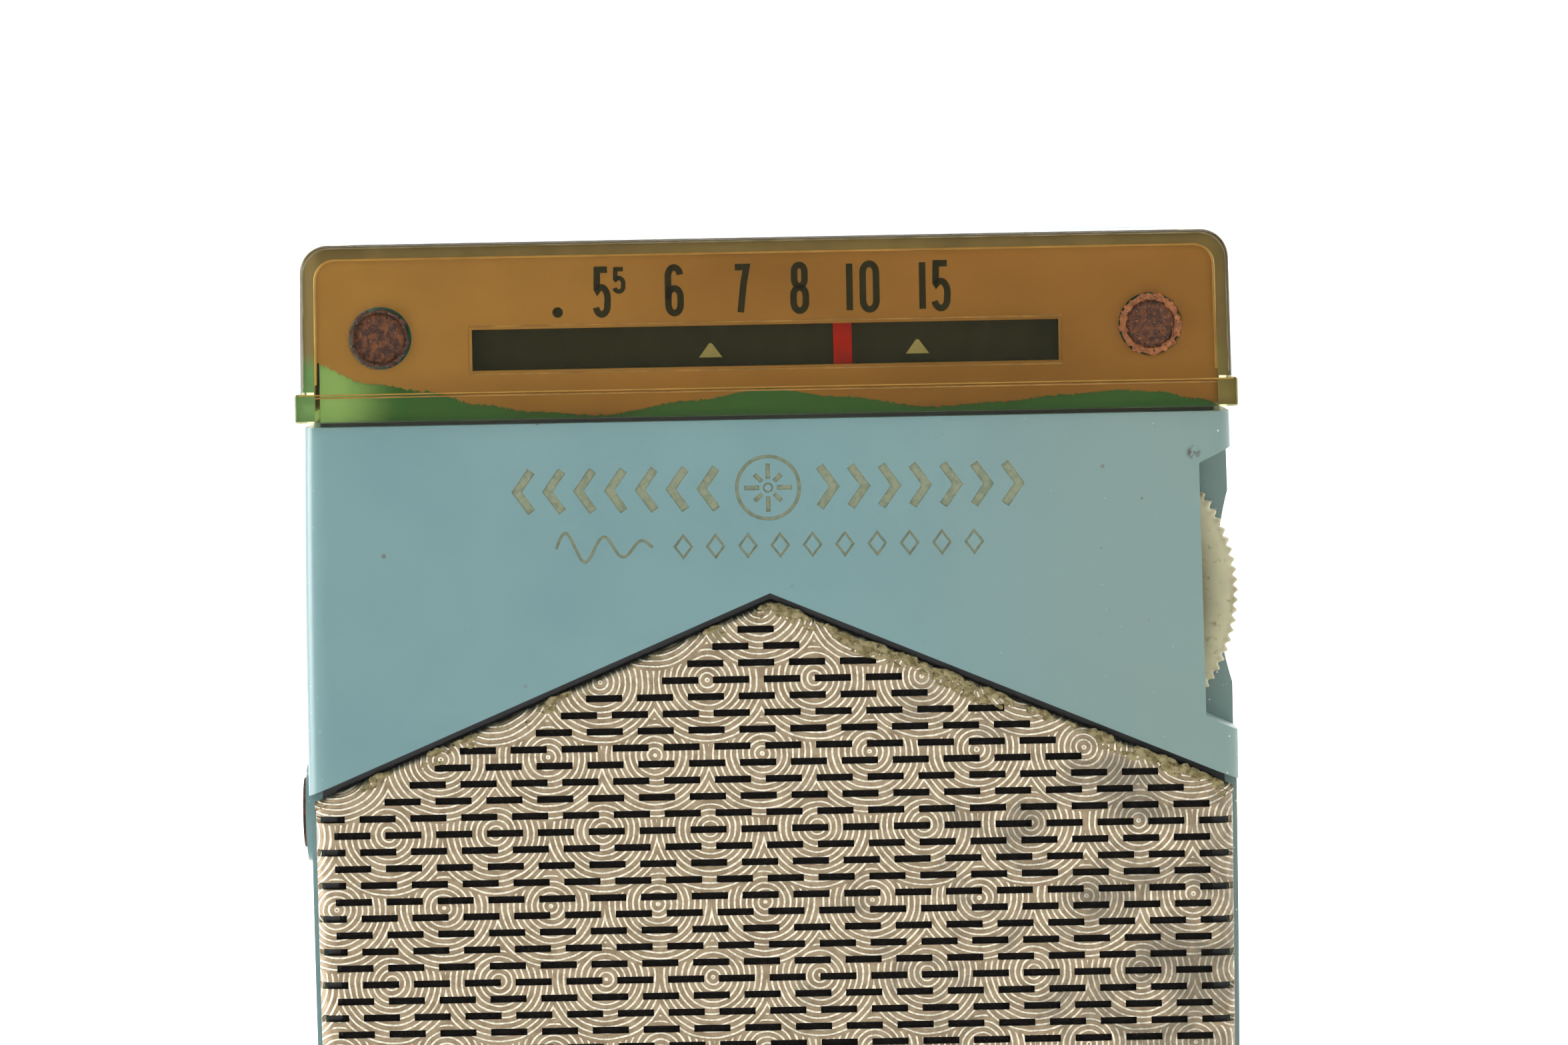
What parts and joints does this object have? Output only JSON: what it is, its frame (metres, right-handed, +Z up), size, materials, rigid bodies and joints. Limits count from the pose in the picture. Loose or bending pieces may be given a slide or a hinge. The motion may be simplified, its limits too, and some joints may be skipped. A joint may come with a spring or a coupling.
{
  "type": "transistor pocket radio",
  "caption": "Upright transistor pocket radio with a gold dial cap, a blue chevron front over a stamped metal grille, and a thumbwheel that drives a cord and pointer.",
  "frame": {"origin": "middle of the base, halfway through the width and the depth", "axes": "+Z up the case, front faces -Y, +X to the viewer's right"},
  "size_m": [0.0806, 0.0376, 0.142],
  "materials": {
    "blue_plastic": "gloss, moulded",
    "clear_plastic": "clear, painted gold on the inside",
    "rusty_steel": "rusted",
    "dial_black": "matt black",
    "pointer_red": "painted red",
    "grille_metal": "anodised, engine turned",
    "grille_cloth": "black weave",
    "wheel_plastic": "cream, worn",
    "brass": "dull",
    "steel": "plated",
    "aluminium": "satin",
    "cord_fabric": "braided",
    "nylon": "natural",
    "board_laminate": "paper laminate",
    "ferrite": "matt",
    "coil_litz": "wound",
    "speaker_paper": "pressed paper",
    "magnet_steel": "plated",
    "transformer_iron": "lacquered laminations",
    "capacitor_sleeve": "sleeved",
    "transistor_can": "black paint",
    "battery_jacket": "printed jacket",
    "black_plastic": "moulded"
  },
  "bodies": {
    "case": {"front_shell": "blue_plastic", "dial_cap": "clear_plastic", "cap_rivet_left": "rusty_steel", "cap_rivet_right": "rusty_steel", "grille": "grille_metal", "grille_cloth": "grille_cloth", "dial_plate": "dial_black", "pointer_rail": "steel", "dial_cord": "cord_fabric", "pulley_pin_left": "brass", "pulley_pin_right": "brass", "cord_guide": "brass", "gang_frame": "aluminium", "gang_stator": "aluminium", "volume_pot": "steel", "circuit_board": "board_laminate", "board_screw_1": "steel", "board_screw_2": "steel", "board_screw_3": "steel", "ferrite_rod": "ferrite", "antenna_coil": "coil_litz", "rod_holder_left": "black_plastic", "rod_holder_right": "black_plastic", "oscillator_can": "aluminium", "if_can_1": "aluminium", "if_can_2": "aluminium", "if_can_3": "aluminium", "transistor_1": "transistor_can", "transistor_2": "transistor_can", "transistor_3": "transistor_can", "transistor_4": "transistor_can", "transistor_5": "transistor_can", "transistor_6": "transistor_can", "driver_transformer": "transformer_iron", "output_transformer": "transformer_iron", "electrolytic_1": "capacitor_sleeve", "electrolytic_2": "capacitor_sleeve", "speaker_basket": "steel", "speaker_magnet": "magnet_steel", "speaker_clamp_left": "brass", "speaker_clamp_right": "brass", "battery": "battery_jacket", "battery_snap": "black_plastic", "earphone_jack": "rusty_steel"},
    "cover": {"rear_cover": "blue_plastic", "cover_screw": "brass"},
    "tuning": {"tuning_wheel": "wheel_plastic", "tuning_wheel_screw": "brass", "dial_drum": "nylon", "gang_rotor": "aluminium"},
    "pointer": {"pointer": "pointer_red", "pointer_carriage": "brass"},
    "pulley_left": {"cord_pulley_left": "nylon"},
    "pulley_right": {"cord_pulley_right": "nylon"},
    "volume": {"volume_wheel": "wheel_plastic", "volume_wheel_screw": "brass", "volume_pot_shaft": "steel"},
    "cone": {"speaker_cone": "speaker_paper"}
  },
  "joints": [
    {"name": "tuning_spin", "type": "hinge", "parent": "case", "child": "tuning", "pos_m": [0.026, 0, 0.1109], "axis": [0, 1, 0], "range_deg": [-120, 60]},
    {"name": "pointer_slide", "type": "slide", "parent": "case", "child": "pointer", "axis": [1, 0, 0], "range_m": [-0.02053, 0.01026]},
    {"name": "pulley_left_spin", "type": "hinge", "parent": "case", "child": "pulley_left", "pos_m": [-0.0335, 0, 0.1333], "axis": [0, 1, 0], "range_deg": [-535, 267.8]},
    {"name": "pulley_right_spin", "type": "hinge", "parent": "case", "child": "pulley_right", "pos_m": [0.0335, 0, 0.1333], "axis": [0, 1, 0], "range_deg": [-535, 267.8]},
    {"name": "volume_spin", "type": "hinge", "parent": "case", "child": "volume", "pos_m": [0.0302, 0, 0.046], "axis": [0, 1, 0], "range_deg": [0, 300]},
    {"name": "cover_hinge", "type": "hinge", "parent": "case", "child": "cover", "pos_m": [0, -0.004, 0.142], "axis": [1, 0, 0], "range_deg": [0, 70]},
    {"name": "cone_travel", "type": "slide", "parent": "case", "child": "cone", "axis": [0, 1, 0], "range_m": [-0.0004, 0.0004], "stiffness_N_per_m": 1500}
  ],
  "couplings": [
    {"joint": "pointer_slide", "follows": "tuning_spin", "m_per_rad": 0.0098},
    {"joint": "pulley_left_spin", "follows": "tuning_spin", "ratio": 4.4545},
    {"joint": "pulley_right_spin", "follows": "tuning_spin", "ratio": 4.4545}
  ]
}
